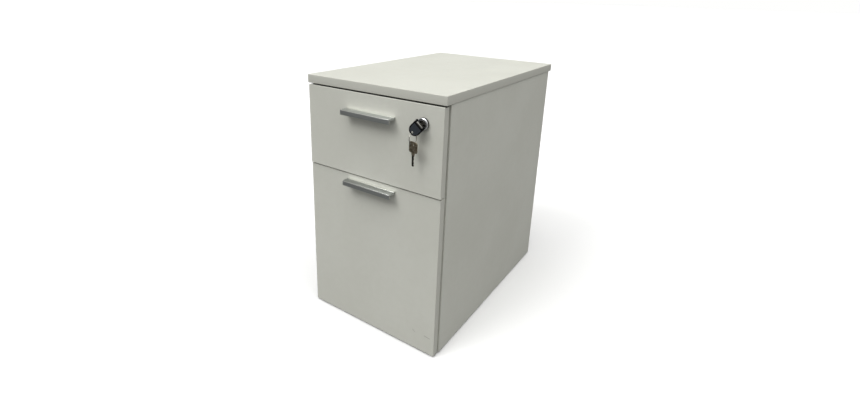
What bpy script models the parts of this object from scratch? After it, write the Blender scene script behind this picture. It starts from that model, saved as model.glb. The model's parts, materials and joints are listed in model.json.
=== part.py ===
"""Two-drawer pedestal cabinet in melamine-faced board, with a central lock.

A box drawer over a filing drawer, both on telescopic runners.  The lock sits in the upper
front: turning its key lifts a bar in the right side panel, whose pins then stand in front of
a catch on each drawer.  A folding key is in the lock and a spare hangs from its ring.

Metres, +Z up, the fronts face -Y.  The origin is the centre of the footprint on the floor.
Run with: blender --background --python part.py
"""
import math

import bmesh
import bpy
import numpy as np
from mathutils import Matrix, Vector

# ---------------------------------------------------------------- driving dimensions
TOP_WIDTH = 0.400
TOP_DEPTH = 0.632
TOP_THICKNESS = 0.021
BOARD = 0.018                  # sides, back, bottom, rail and drawer fronts
SIDE_INSET = 0.002             # top's edge to the outer face of a side
BACK_OVERHANG = 0.014          # top's back edge past the back of the sides
CARCASS_SETBACK = 0.022        # front edge of the sides behind the top's front edge
GLIDE_HEIGHT = 0.004
GLIDE_RADIUS = 0.011
GLIDE_INSET = 0.045            # glide's centre from the edges of the bottom panel
GLIDE_STEM_RADIUS = 0.0015
GLIDE_STEM = 0.010

FRONT_INSET = 0.00225          # side edge of a front inside the outer face of the side panel
UPPER_FRONT_HEIGHT = 0.2048
LOWER_FRONT_HEIGHT = 0.4145
FRONT_GAP = 0.003              # between the two fronts
TOP_GAP = 0.0032               # between the upper front and the top
BUFFER_GAP = 0.003             # behind a fully closed front
UPPER_AJAR = 0.003             # the upper drawer stands this far out at rest
UPPER_FRONT_SHIFT = 0.0008     # sideways hang of each front
LOWER_FRONT_SHIFT = -0.0003

DRAWER_BOARD = 0.012
DRAWER_BASE = 0.006
GROOVE_DEPTH = 0.005
BASE_RAISE = 0.010             # underside of a drawer's base above the lower edge of its sides
UPPER_BOX_RAISE = 0.014        # lower edge of a drawer's sides above the lower edge of its front
LOCK_CLEARANCE = 0.0038        # between the lock nut and the upper edge of the drawer's sides
LOWER_BOX_RAISE = 0.026
LOWER_BOX_HEIGHT = 0.270

RUNNER_CLEARANCE = 0.028       # behind the runners when the drawers are closed
RUNNER_SPACE = 0.0127
RUNNER_HEIGHT = 0.045
RUNNER_WALL = 0.0012
RUNNER_STEP = 0.0013           # vertical play between one member and the next
UPPER_RUNNER_RAISE = 0.055     # runner's centre line above the lower edge of the drawer's sides
LOWER_RUNNER_RAISE = 0.095

HANDLE_LENGTH = 0.142
HANDLE_CENTRES = 0.128
HANDLE_REACH = 0.024
HANDLE_LEDGE = 0.007           # level rear band of the handle's upper face
HANDLE_FALL = 0.0018           # fall of the rest of the upper face to the lip
HANDLE_LIP = 0.0130            # lip's lower edge below the level band
HANDLE_WALL = 0.0028
HANDLE_ROOT = 0.0075           # thickness where it meets the front
HANDLE_FILLET = 0.002
UPPER_HANDLE_DROP = 0.0400     # handle's top below the front's top edge
LOWER_HANDLE_DROP = 0.0102
UPPER_HANDLE_SHIFT = 0.0005
LOWER_HANDLE_SHIFT = 0.0018
SCREW_RADIUS = 0.00175
SCREW_HEAD_RADIUS = 0.0040
SCREW_HEAD = 0.0022
SCREW_GRIP = 0.0070            # screw's length inside the handle
SCREW_LEVEL = 0.0036           # screw's axis below the handle's top

FILE_RAIL_SPACING = 0.330
FILE_RAIL_DEPTH = 0.014
FILE_RAIL_THICKNESS = 0.003
FILE_RAIL_FIRST = 0.080        # first rail behind the lower front

LOCK_INSET = 0.033             # lock's axis from the inner face of the right side
LOCK_DROP = 0.0413              # lock's axis below the upper front's top edge
BARREL_RADIUS = 0.0095
BARREL_END = 0.0027            # barrel's length past the nut
COLLAR_RADIUS = 0.0135
COLLAR_REACH = 0.0080
COLLAR_FACE_RADIUS = 0.0110
NUT_FLATS = 0.026
NUT_THICKNESS = 0.005
PLUG_RADIUS = 0.0080
PLUG_TAIL = 0.0020             # plug's length behind the barrel
KEYWAY_DEPTH = 0.024
PRONG_RADIUS = 0.0020
PRONG_THROW = 0.0070           # prong's distance from the lock's axis
PRONG_DISC = 0.0030
LOCK_TURN = math.radians(90)
KEY_TURN_AT_REST = math.radians(41)    # the key's flat from level, clockwise from the front

KEY_BLADE_WIDTH = 0.0062
KEY_BLADE_THICKNESS = 0.0020
KEY_BLADE_IN = 0.020           # behind the collar's face
KEY_BOW_WIDTH = 0.0170
KEY_BOW_LENGTH = 0.0045
KEY_KNUCKLE_RADIUS = 0.0023
KEY_HINGE_REACH = 0.0172       # fold axis in front of the upper front's face
KEY_FOLD = math.radians(80)    # head folded down from straight out
HEAD_LENGTH = 0.0285
HEAD_WIDTH = 0.0274
HEAD_THICKNESS = 0.0032
HEAD_POCKET = 0.0005
HEAD_RIM = 0.0030
HEAD_FORK = 0.0050             # fork's ends behind the fold axis
FOLD_PIN_RADIUS = 0.0010
RING_HOLE_RADIUS = 0.0035
RING_HOLE_RIM = 0.0015
RING_RADIUS = 0.0135
RING_WIRE_RADIUS = 0.0006
RING_LEAN = math.radians(8)    # ring's foot swung to the right of its hole

SPARE_HEAD_WIDTH = 0.0250
SPARE_HEAD_HEIGHT = 0.0250
SPARE_CORNER = 0.0055
SPARE_LENGTH = 0.0555
SPARE_NECK_WIDTH = 0.0095
SPARE_NECK = 0.0060
SPARE_BLADE_WIDTH = 0.0058
SPARE_THICKNESS = 0.0021
SPARE_HOLE_RADIUS = 0.0020
SPARE_HOLE_DROP = 0.0075       # hole's centre below the top of the head
SPARE_YAW = math.radians(-12)

BAR_SETBACK = 0.025            # locking bar's centre line behind the front edge of the side
BAR_WIDTH = 0.013
BAR_THICKNESS = 0.003
BAR_LOW = 0.200                # bar's lower end above the lower edge of the sides
BAR_PIN_RADIUS = 0.003
PIN_CLEARANCE = 0.0015         # between a pin and the catch in front of it
CATCH_LENGTH = 0.020
CATCH_HEIGHT = 0.016
CATCH_THICKNESS = 0.005
ACTUATOR_PLATE = 0.0018
ACTUATOR_HEIGHT = 0.013
SLOT_PLAY = 0.0005             # prong's play in the actuator's slot
GUIDE_HEIGHT = 0.018
GUIDE_WALL = 0.0020
GUIDE_FLANGE = 0.007

BRACKET_LEG = 0.015
BRACKET_WALL = 0.0015
BRACKET_LENGTH = 0.030

GAP = 0.0003                   # between neighbours that touch
PLAY = 0.0006                  # between a turning or sliding piece and its hole

# ---------------------------------------------------------------- levels and places
BASE = GLIDE_HEIGHT
LOWER_FRONT_TOP = BASE + LOWER_FRONT_HEIGHT
UPPER_FRONT_LOW = LOWER_FRONT_TOP + FRONT_GAP
UPPER_FRONT_TOP = UPPER_FRONT_LOW + UPPER_FRONT_HEIGHT
CARCASS_TOP = UPPER_FRONT_TOP + TOP_GAP
OVERALL_HEIGHT = CARCASS_TOP + TOP_THICKNESS
# the key ring stands out furthest; the footprint is centred with it included
RING_HOLE = HEAD_LENGTH - RING_HOLE_RADIUS - RING_HOLE_RIM
RING_REACH = (KEY_HINGE_REACH + RING_HOLE * math.cos(KEY_FOLD) + RING_RADIUS + RING_WIRE_RADIUS
              + UPPER_AJAR + BOARD + BUFFER_GAP - CARCASS_SETBACK)
TOP_FRONT = (RING_REACH - TOP_DEPTH) / 2
TOP_BACK = TOP_FRONT + TOP_DEPTH
SIDE_FRONT = TOP_FRONT + CARCASS_SETBACK
SIDE_BACK = TOP_BACK - BACK_OVERHANG
SIDE_OUTER = TOP_WIDTH / 2 - SIDE_INSET
SIDE_INNER = SIDE_OUTER - BOARD
BACK_INNER = SIDE_BACK - BOARD

CLOSED_FACE = SIDE_FRONT - BUFFER_GAP - BOARD
FRONT_WIDTH = 2 * (SIDE_OUTER - FRONT_INSET)
RUNNER_LENGTH = BACK_INNER - SIDE_FRONT - RUNNER_CLEARANCE
BOX_OUTER = SIDE_INNER - RUNNER_SPACE
BOX_INNER = BOX_OUTER - DRAWER_BOARD
UPPER_FACE = CLOSED_FACE - UPPER_AJAR

LOCK = Vector((SIDE_INNER - LOCK_INSET, UPPER_FACE, UPPER_FRONT_TOP - LOCK_DROP))
BARREL_LENGTH = BOARD + GAP + NUT_THICKNESS + BARREL_END
UPPER_BOX_TOP = LOCK.z - NUT_FLATS / 2 - LOCK_CLEARANCE
UPPER_BOX_HEIGHT = UPPER_BOX_TOP - UPPER_FRONT_LOW - UPPER_BOX_RAISE
BAR_Y = SIDE_FRONT + BAR_SETBACK
BAR_TRAVEL = 2 * PRONG_THROW * math.sin(LOCK_TURN / 2)
PRONG_REST = LOCK.z - PRONG_THROW * math.sin(LOCK_TURN / 2)
BAR_BOTTOM = BASE + BAR_LOW
BAR_TOP = PRONG_REST + ACTUATOR_HEIGHT / 2

FINISHES = {
    "board": ((0.52, 0.52, 0.47), 0.45, 0.0),
    "drawer_board": ((0.60, 0.60, 0.57), 0.50, 0.0),
    "zinc": ((0.60, 0.61, 0.62), 0.35, 1.0),
    "satin_aluminium": ((0.48, 0.49, 0.48), 0.32, 1.0),
    "chrome": ((0.75, 0.75, 0.76), 0.10, 1.0),
    "nickel": ((0.55, 0.54, 0.50), 0.25, 1.0),
    "bronze_nickel": ((0.22, 0.19, 0.15), 0.38, 1.0),
    "black_plastic": ((0.015, 0.015, 0.017), 0.40, 0.0),
    "grey_plastic": ((0.20, 0.20, 0.20), 0.50, 0.0),
}


# ---------------------------------------------------------------- modelling helpers
def finish_of(obj, finish):
    """Give an object its own Principled material in one of the named finishes."""
    colour, roughness, metallic = FINISHES[finish]
    material = bpy.data.materials.new(f"{obj.name}_{finish}")
    material.use_nodes = True
    shader = material.node_tree.nodes["Principled BSDF"]
    shader.inputs["Base Color"].default_value = (*colour, 1.0)
    shader.inputs["Roughness"].default_value = roughness
    shader.inputs["Metallic"].default_value = metallic
    obj.data.materials.append(material)


def attach(obj, parent):
    """Parent an object where it stands."""
    if parent is None:
        return
    bpy.context.view_layer.update()
    obj.parent = parent
    obj.matrix_parent_inverse = parent.matrix_world.inverted()


def pivot(name, location, rotation=None, parent=None):
    """An empty on a joint's axis."""
    empty = bpy.data.objects.new(name, None)
    empty.empty_display_size = 0.02
    bpy.context.collection.objects.link(empty)
    empty.matrix_world = Matrix.Translation(location) @ (rotation or Matrix.Identity(4))
    attach(empty, parent)
    return empty


def from_bmesh(name, bm, finish, parent=None, matrix=None, smooth=False):
    """Turn a closed bmesh into a named object with its faces pointing out."""
    bmesh.ops.recalc_face_normals(bm, faces=bm.faces)
    mesh = bpy.data.meshes.new(name)
    bm.to_mesh(mesh)
    bm.free()
    if smooth:
        mesh.shade_smooth()
        mesh.set_sharp_from_angle(angle=math.radians(35))
    obj = bpy.data.objects.new(name, mesh)
    bpy.context.collection.objects.link(obj)
    if matrix is not None:
        obj.matrix_world = matrix
    if finish is not None:
        finish_of(obj, finish)
    attach(obj, parent)
    return obj


def block(name, low, high, finish, parent=None):
    """A board or bar between two opposite corners, its origin at its centre."""
    low = Vector(low)
    high = Vector(high)
    size = high - low
    bm = bmesh.new()
    bmesh.ops.create_cube(bm, size=1.0)
    bmesh.ops.scale(bm, vec=size, verts=bm.verts)
    return from_bmesh(name, bm, finish, parent, Matrix.Translation((low + high) / 2))


def prism(name, outline, axis, start, end, finish, parent=None, matrix=None, smooth=False):
    """Extrude an outline along X, Y or Z.

    The outline's two coordinates are the other two axes, in X, Y, Z order.
    """
    order = {"X": (1, 2, 0), "Y": (0, 2, 1), "Z": (0, 1, 2)}[axis]
    bm = bmesh.new()
    rings = []
    for level in (start, end):
        ring = []
        for first, second in outline:
            point = [0.0, 0.0, 0.0]
            point[order[0]] = first
            point[order[1]] = second
            point[order[2]] = level
            ring.append(bm.verts.new(point))
        rings.append(ring)
    bm.faces.new(rings[0])
    bm.faces.new(rings[1])
    bmesh.ops.bridge_loops(bm, edges=bm.edges[:])
    return from_bmesh(name, bm, finish, parent, matrix, smooth)


def turned(name, profile, segments, finish, parent=None, matrix=None, closed=False):
    """Turn a profile of (radius, height) points about Z.

    An open profile starts and ends on the axis; a closed one is a ring or a tube.
    """
    angles = np.linspace(0, 2 * math.pi, segments, endpoint=False)
    bm = bmesh.new()
    rows = []
    for radius, height in profile:
        if radius < 1e-9:
            rows.append([bm.verts.new((0, 0, height))] * segments)
        else:
            rows.append([bm.verts.new((radius * math.cos(a), radius * math.sin(a), height))
                         for a in angles])
    pairs = list(zip(rows, rows[1:]))
    if closed:
        pairs.append((rows[-1], rows[0]))
    for lower, upper in pairs:
        for i in range(segments):
            j = (i + 1) % segments
            corners = dict.fromkeys((lower[i], lower[j], upper[j], upper[i]))
            bm.faces.new(list(corners))
    return from_bmesh(name, bm, finish, parent, matrix, smooth=True)


def arc(centre, radius, start, end, steps, squeeze=1.0):
    """Points on an arc between two angles in degrees; squeeze flattens the second axis."""
    points = []
    for angle in np.radians(np.linspace(start, end, steps)):
        points.append((centre[0] + radius * math.cos(angle),
                       centre[1] + squeeze * radius * math.sin(angle)))
    return points


def boolean(target, tool, operation):
    """Cut a tool from a target, or join it on; the tool is hidden and left out."""
    modifier = target.modifiers.new(tool.name, "BOOLEAN")
    modifier.operation = operation
    modifier.object = tool
    tool.hide_render = True
    tool.display_type = "WIRE"


def cut_block(target, low, high, parent=None):
    """Cut a rectangular space between two corners from a board."""
    tool = block(f"{target.name}_cut_{len(target.modifiers)}", low, high, None, parent)
    boolean(target, tool, "DIFFERENCE")


def rod(name, radius, start, end, segments, finish, parent=None):
    """A round rod between two points."""
    start = Vector(start)
    end = Vector(end)
    length = (end - start).length
    turn = (end - start).to_track_quat("Z", "Y").to_matrix().to_4x4()
    profile = [(0, 0), (radius, 0), (radius, length), (0, length)]
    return turned(name, profile, segments, finish, parent, Matrix.Translation(start) @ turn)


def cut_hole(target, radius, start, end, segments=20, parent=None):
    """Drill a round hole between two points."""
    tool = rod(f"{target.name}_hole_{len(target.modifiers)}", radius, start, end, segments, None,
               parent)
    boolean(target, tool, "DIFFERENCE")


# ---------------------------------------------------------------- carcass
def build_carcass():
    """Top, sides, back, bottom, front rail, brackets and glides."""
    block("top_panel", (-TOP_WIDTH / 2, TOP_FRONT, CARCASS_TOP + GAP),
          (TOP_WIDTH / 2, TOP_BACK, OVERALL_HEIGHT), "board")
    left = block("left_side_panel", (-SIDE_OUTER, SIDE_FRONT, BASE),
                 (-SIDE_INNER, SIDE_BACK, CARCASS_TOP), "board")
    right = block("right_side_panel", (SIDE_INNER, SIDE_FRONT, BASE),
                  (SIDE_OUTER, SIDE_BACK, CARCASS_TOP), "board")
    cut_block(right, (SIDE_INNER - BOARD, BAR_Y - BAR_WIDTH / 2 - PLAY, BAR_BOTTOM - PLAY),
              (SIDE_INNER + BAR_THICKNESS + 2 * PLAY, BAR_Y + BAR_WIDTH / 2 + PLAY,
               BAR_TOP + BAR_TRAVEL + PLAY))
    inner = SIDE_INNER - GAP
    block("back_panel", (-inner, BACK_INNER, BASE), (inner, SIDE_BACK, CARCASS_TOP), "board")
    bottom = block("bottom_panel", (-inner, SIDE_FRONT, BASE),
                   (inner, BACK_INNER - GAP, BASE + BOARD), "board")
    block("front_rail", (-inner, SIDE_FRONT, CARCASS_TOP - BOARD),
          (inner, SIDE_FRONT + BRACKET_LENGTH * 2, CARCASS_TOP), "board")
    for end, y in (("front", SIDE_FRONT + GLIDE_INSET), ("back", SIDE_BACK - GLIDE_INSET)):
        for side, sign in (("left", -1), ("right", 1)):
            x = sign * (SIDE_INNER - GLIDE_INSET)
            build_glide(f"glide_{end}_{side}", x, y)
            cut_hole(bottom, GLIDE_STEM_RADIUS + GAP, (x, y, BASE - BOARD),
                     (x, y, BASE + GLIDE_STEM + GAP), 12)
    rail_back = SIDE_FRONT + BRACKET_LENGTH * 2
    for end, y in (("front", rail_back + BRACKET_LENGTH), ("back", BACK_INNER - BRACKET_LENGTH * 2)):
        for side, sign in (("left", -1), ("right", 1)):
            build_bracket(f"top_bracket_{end}_{side}", sign, y)
    return left, right


def build_glide(name, x, y):
    """A round foot with a nail stem that goes into the bottom panel."""
    top = GLIDE_HEIGHT - GAP
    edge = GLIDE_HEIGHT / 4
    profile = [(0, 0), (GLIDE_RADIUS - edge, 0), (GLIDE_RADIUS, edge), (GLIDE_RADIUS, top),
               (GLIDE_STEM_RADIUS, top), (GLIDE_STEM_RADIUS, GLIDE_HEIGHT + GLIDE_STEM),
               (0, GLIDE_HEIGHT + GLIDE_STEM)]
    turned(name, profile, 24, "grey_plastic", None, Matrix.Translation((x, y, 0)))


def build_bracket(name, sign, y):
    """A steel angle that ties the top to a side."""
    corner = SIDE_INNER - GAP
    high = CARCASS_TOP
    outline = [(corner, high), (corner - BRACKET_LEG, high),
               (corner - BRACKET_LEG, high - BRACKET_WALL),
               (corner - BRACKET_WALL, high - BRACKET_WALL),
               (corner - BRACKET_WALL, high - BRACKET_LEG), (corner, high - BRACKET_LEG)]
    outline = [(sign * x, z) for x, z in outline]
    prism(name, outline, "Y", y, y + BRACKET_LENGTH, "zinc")


# ---------------------------------------------------------------- runners
def channel(web, lips, half_height):
    """Outline of a C-shaped member: its web's outer face, its lips' ends and half its height."""
    inward = math.copysign(RUNNER_WALL, lips - web)
    inside = half_height - RUNNER_WALL
    return [(web, -half_height), (lips, -half_height), (lips, -inside), (web + inward, -inside),
            (web + inward, inside), (lips, inside), (lips, half_height), (web, half_height)]


def build_runner(prefix, side, sign, level, box_front, drawer, slides):
    """Cabinet, middle and drawer members of one telescopic runner, each inside the next.

    Distances run from the side panel's inner face towards the drawer.  The middle member stands
    halfway between the other two.
    """
    half = RUNNER_HEIGHT / 2
    smaller = RUNNER_WALL + RUNNER_STEP
    middle_web = GAP + RUNNER_WALL + RUNNER_STEP
    drawer_lips = middle_web + RUNNER_WALL + RUNNER_STEP
    drawer_web = RUNNER_SPACE - GAP
    middle_lips = drawer_web - RUNNER_WALL - RUNNER_STEP / 2
    start = CLOSED_FACE + BOARD + GAP
    halfway = (start + box_front) / 2
    members = (
        ("cabinet_member", channel(GAP, middle_lips - RUNNER_STEP, half), SIDE_FRONT, None),
        ("middle_member", channel(middle_web, middle_lips, half - smaller), halfway, slides),
        ("drawer_member", channel(drawer_web, drawer_lips, half - 2 * smaller), box_front, drawer),
    )
    for part, shape, start, parent in members:
        outline = [(sign * (SIDE_INNER - x), level + z) for x, z in shape]
        prism(f"{prefix}_{part}_{side}", outline, "Y", start, start + RUNNER_LENGTH, "zinc", parent)


# ---------------------------------------------------------------- drawers
def build_drawer(prefix, front_low, front_top, shift, face, box_raise, box_height, runner_raise):
    """One drawer: front, two grooved sides, back, base and its two runners."""
    back_of_front = face + BOARD
    box_front = back_of_front + GAP
    box_back = box_front + RUNNER_LENGTH
    low = front_low + box_raise
    high = low + box_height
    middle = (front_low + front_top) / 2
    drawer = pivot(f"{prefix}_drawer_slide", (0, back_of_front, middle))
    slides = pivot(f"{prefix}_middle_slide", (0, SIDE_FRONT, low + runner_raise))

    front = block(f"{prefix}_front", (shift - FRONT_WIDTH / 2, face, front_low),
                  (shift + FRONT_WIDTH / 2, back_of_front, front_top), "board", drawer)

    base_low = low + BASE_RAISE
    base_top = base_low + DRAWER_BASE
    groove = BOX_INNER + GROOVE_DEPTH + GAP
    for side, sign in (("left", -1), ("right", 1)):
        outline = [(BOX_OUTER, low), (BOX_OUTER, high), (BOX_INNER, high),
                   (BOX_INNER, base_top + GAP), (groove, base_top + GAP),
                   (groove, base_low - GAP), (BOX_INNER, base_low - GAP), (BOX_INNER, low)]
        outline = [(sign * x, z) for x, z in outline]
        prism(f"{prefix}_drawer_side_{side}", outline, "Y", box_front, box_back, "drawer_board",
              drawer)
        build_runner(prefix, side, sign, low + runner_raise, box_front, drawer, slides)
    inner = BOX_INNER - GAP
    block(f"{prefix}_drawer_back", (-inner, box_back - DRAWER_BOARD, base_top + GAP),
          (inner, box_back, high), "drawer_board", drawer)
    base_half = BOX_INNER + GROOVE_DEPTH
    block(f"{prefix}_drawer_base", (-base_half, box_front, base_low),
          (base_half, box_back, base_top), "drawer_board", drawer)
    return front, drawer


def build_handle(prefix, front, drawer, face, top, x):
    """An extruded bar handle, its lip turned down, and the two screws that hold it."""
    reach = HANDLE_REACH
    inside = reach - HANDLE_WALL
    web = HANDLE_FALL + HANDLE_WALL + HANDLE_FILLET
    shape = [(GAP, 0), (HANDLE_LEDGE, 0), (reach, -HANDLE_FALL), (reach, -HANDLE_LIP),
             (inside, -HANDLE_LIP)]
    shape += arc((inside - HANDLE_FILLET, -web), HANDLE_FILLET, 0, 80, 4)
    shape += [(GAP, -HANDLE_ROOT)]
    outline = [(face - out, top + z) for out, z in shape]
    start = x - HANDLE_LENGTH / 2
    handle = prism(f"{prefix}_handle", outline, "X", start, start + HANDLE_LENGTH,
                   "satin_aluminium", drawer)
    level = top - SCREW_LEVEL
    back = face + BOARD
    for side, sign in (("left", -1), ("right", 1)):
        along = x + sign * HANDLE_CENTRES / 2
        length = BOARD + GAP + SCREW_GRIP
        profile = [(0, -SCREW_HEAD), (SCREW_HEAD_RADIUS * 0.6, -SCREW_HEAD),
                   (SCREW_HEAD_RADIUS, -SCREW_HEAD * 0.4), (SCREW_HEAD_RADIUS, 0),
                   (SCREW_RADIUS, 0), (SCREW_RADIUS, length), (0, length)]
        turn = Matrix.Rotation(math.radians(90), 4, "X")
        turned(f"{prefix}_handle_screw_{side}", profile, 16, "zinc", drawer,
               Matrix.Translation((along, back + GAP, level)) @ turn)
        for piece in (front, handle):
            cut_hole(piece, SCREW_RADIUS + GAP, (along, back + BOARD, level),
                     (along, face - SCREW_GRIP - 2 * GAP, level), 16, drawer)


def build_file_rails(drawer, face, low, high):
    """Two bars across the filing drawer that hanging files hook on."""
    rest = high + GAP
    inner = BOX_INNER - GAP
    ear = BOX_OUTER
    outline = [(-inner, rest - FILE_RAIL_DEPTH), (inner, rest - FILE_RAIL_DEPTH), (inner, rest),
               (ear, rest), (ear, rest + FILE_RAIL_THICKNESS), (-ear, rest + FILE_RAIL_THICKNESS),
               (-ear, rest), (-inner, rest)]
    for end, offset in (("front", FILE_RAIL_FIRST), ("back", FILE_RAIL_FIRST + FILE_RAIL_SPACING)):
        start = face + BOARD + offset
        prism(f"file_rail_{end}", outline, "Y", start, start + FILE_RAIL_THICKNESS, "zinc", drawer)


# ---------------------------------------------------------------- lock
def outward(distance):
    """Height along a profile that is turned about the lock's axis, outwards from the face."""
    return Matrix.Translation(LOCK + Vector((0, -distance, 0))) @ Matrix.Rotation(
        math.radians(90), 4, "X")


def build_lock(front, drawer):
    """Barrel with its collar, the nut behind the front, the plug and the prong."""
    cut_hole(front, BARREL_RADIUS + GAP, LOCK + Vector((0, -BOARD, 0)),
             LOCK + Vector((0, 2 * BOARD, 0)), 32, drawer)
    bore = PLUG_RADIUS + GAP
    shoulder = COLLAR_RADIUS - COLLAR_FACE_RADIUS
    profile = [(bore, -BARREL_LENGTH), (BARREL_RADIUS, -BARREL_LENGTH), (BARREL_RADIUS, GAP),
               (COLLAR_RADIUS, GAP)]
    profile += arc((COLLAR_FACE_RADIUS, COLLAR_REACH - 2 * shoulder), shoulder, 0, 72, 5, 2.0)
    profile += [(COLLAR_FACE_RADIUS, COLLAR_REACH), (bore, COLLAR_REACH)]
    turned("lock_barrel", profile, 40, "chrome", drawer, outward(0), closed=True)

    across = NUT_FLATS / 2 / math.cos(math.radians(30))
    hexagon = arc((LOCK.x, LOCK.z), across, 0, 300, 6)
    nut_front = LOCK.y + BOARD + GAP
    nut = prism("lock_nut", hexagon, "Y", nut_front, nut_front + NUT_THICKNESS, "zinc", drawer)
    cut_hole(nut, BARREL_RADIUS + GAP, LOCK, LOCK + Vector((0, 2 * BOARD, 0)), 32, drawer)

    axis = pivot("lock_axis", LOCK, Matrix.Rotation(KEY_TURN_AT_REST, 4, "Y"), drawer)
    tail = BARREL_LENGTH + PLUG_TAIL
    face = COLLAR_REACH - PLAY
    plug = turned("lock_plug", [(0, -tail), (PLUG_RADIUS, -tail), (PLUG_RADIUS, face), (0, face)],
                  32, "nickel", axis, outward(0))
    keyway = block("keyway_cut", (-KEY_BLADE_WIDTH / 2 - GAP, -COLLAR_REACH * 2,
                                  -KEY_BLADE_THICKNESS / 2 - GAP),
                   (KEY_BLADE_WIDTH / 2 + GAP, KEYWAY_DEPTH - COLLAR_REACH,
                    KEY_BLADE_THICKNESS / 2 + GAP), None)
    keyway.matrix_world = axis.matrix_world @ keyway.matrix_world
    attach(keyway, axis)
    boolean(plug, keyway, "DIFFERENCE")

    disc_front = tail + GAP
    disc_back = disc_front + PRONG_DISC
    rim = PRONG_THROW + PRONG_RADIUS
    disc = turned("lock_prong", [(0, -disc_back), (rim, -disc_back), (rim, -disc_front),
                                 (0, -disc_front)], 32, "zinc", axis, outward(0))
    half_turn = LOCK_TURN / 2
    centre = LOCK + Vector((PRONG_THROW * math.cos(half_turn), 0,
                            -PRONG_THROW * math.sin(half_turn)))
    prong_end = BAR_Y + BAR_WIDTH / 2 + 2 * PRONG_RADIUS
    prong = rod("prong_rod", PRONG_RADIUS, (centre.x, LOCK.y + disc_front + PRONG_DISC / 2, centre.z),
                (centre.x, prong_end, centre.z), 16, None, axis)
    boolean(disc, prong, "UNION")
    return axis


def build_lock_bar(drawers):
    """The bar in the right side panel, its actuator and guides, and a catch on each drawer.

    drawers holds, for each drawer, its name, its empty, its face and its catch's lower edge.
    """
    slide = pivot("lock_bar_slide", (SIDE_INNER, BAR_Y, PRONG_REST))
    inner_face = SIDE_INNER + PLAY
    bar = block("lock_bar", (inner_face, BAR_Y - BAR_WIDTH / 2, BAR_BOTTOM),
                (inner_face + BAR_THICKNESS, BAR_Y + BAR_WIDTH / 2, BAR_TOP), "zinc", slide)
    for name, drawer, catch_front, catch_low in drawers:
        pin_level = catch_low - PIN_CLEARANCE - BAR_PIN_RADIUS
        pin = rod(f"{name}_bar_pin", BAR_PIN_RADIUS,
                  (inner_face + BAR_THICKNESS / 2, BAR_Y, pin_level),
                  (BOX_OUTER + CATCH_THICKNESS / 2, BAR_Y, pin_level), 16, None, slide)
        boolean(bar, pin, "UNION")
        block(f"{name}_catch", (BOX_OUTER + GAP, catch_front, catch_low),
              (BOX_OUTER + GAP + CATCH_THICKNESS, catch_front + CATCH_LENGTH,
               catch_low + CATCH_HEIGHT), "zinc", drawer)

    foot = inner_face - GAP
    plate_back = BAR_Y + BAR_WIDTH / 2
    plate_front = plate_back - ACTUATOR_PLATE
    half_slot = PRONG_RADIUS + SLOT_PLAY
    near = LOCK.x + PRONG_THROW * math.cos(LOCK_TURN / 2) - half_slot
    left = near - 2 * ACTUATOR_PLATE
    outline = [(foot, BAR_Y - BAR_WIDTH / 2), (foot, plate_back), (left, plate_back),
               (left, plate_front), (foot - ACTUATOR_PLATE, plate_front),
               (foot - ACTUATOR_PLATE, BAR_Y - BAR_WIDTH / 2)]
    actuator = prism("lock_bar_actuator", outline, "Z", PRONG_REST - ACTUATOR_HEIGHT / 2,
                     PRONG_REST + ACTUATOR_HEIGHT / 2, "zinc", slide)
    cut_block(actuator, (near, plate_front - BAR_WIDTH / 4, PRONG_REST - half_slot),
              (LOCK.x + PRONG_THROW + half_slot, plate_back + BAR_WIDTH / 4,
               PRONG_REST + half_slot), slide)

    upper_low = drawers[0][3]
    lower_low = drawers[1][3]
    span = upper_low - lower_low
    for name, level in (("upper", lower_low + span * 0.66), ("lower", lower_low + span * 0.27)):
        build_guide(f"lock_bar_guide_{name}", level)


def build_guide(name, level):
    """A clip over the bar, fixed to the side panel on both sides of the groove."""
    face = SIDE_INNER - GAP
    half = BAR_WIDTH / 2 + PLAY + GUIDE_FLANGE
    step = half - GUIDE_FLANGE + GAP
    low = level - GUIDE_HEIGHT / 2
    outline = [(face, BAR_Y - half), (face, BAR_Y + half), (face - GUIDE_WALL / 2, BAR_Y + half),
               (face - GUIDE_WALL, BAR_Y + step), (face - GUIDE_WALL, BAR_Y - step),
               (face - GUIDE_WALL / 2, BAR_Y - half)]
    prism(name, outline, "Z", low, low + GUIDE_HEIGHT, "grey_plastic")


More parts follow.
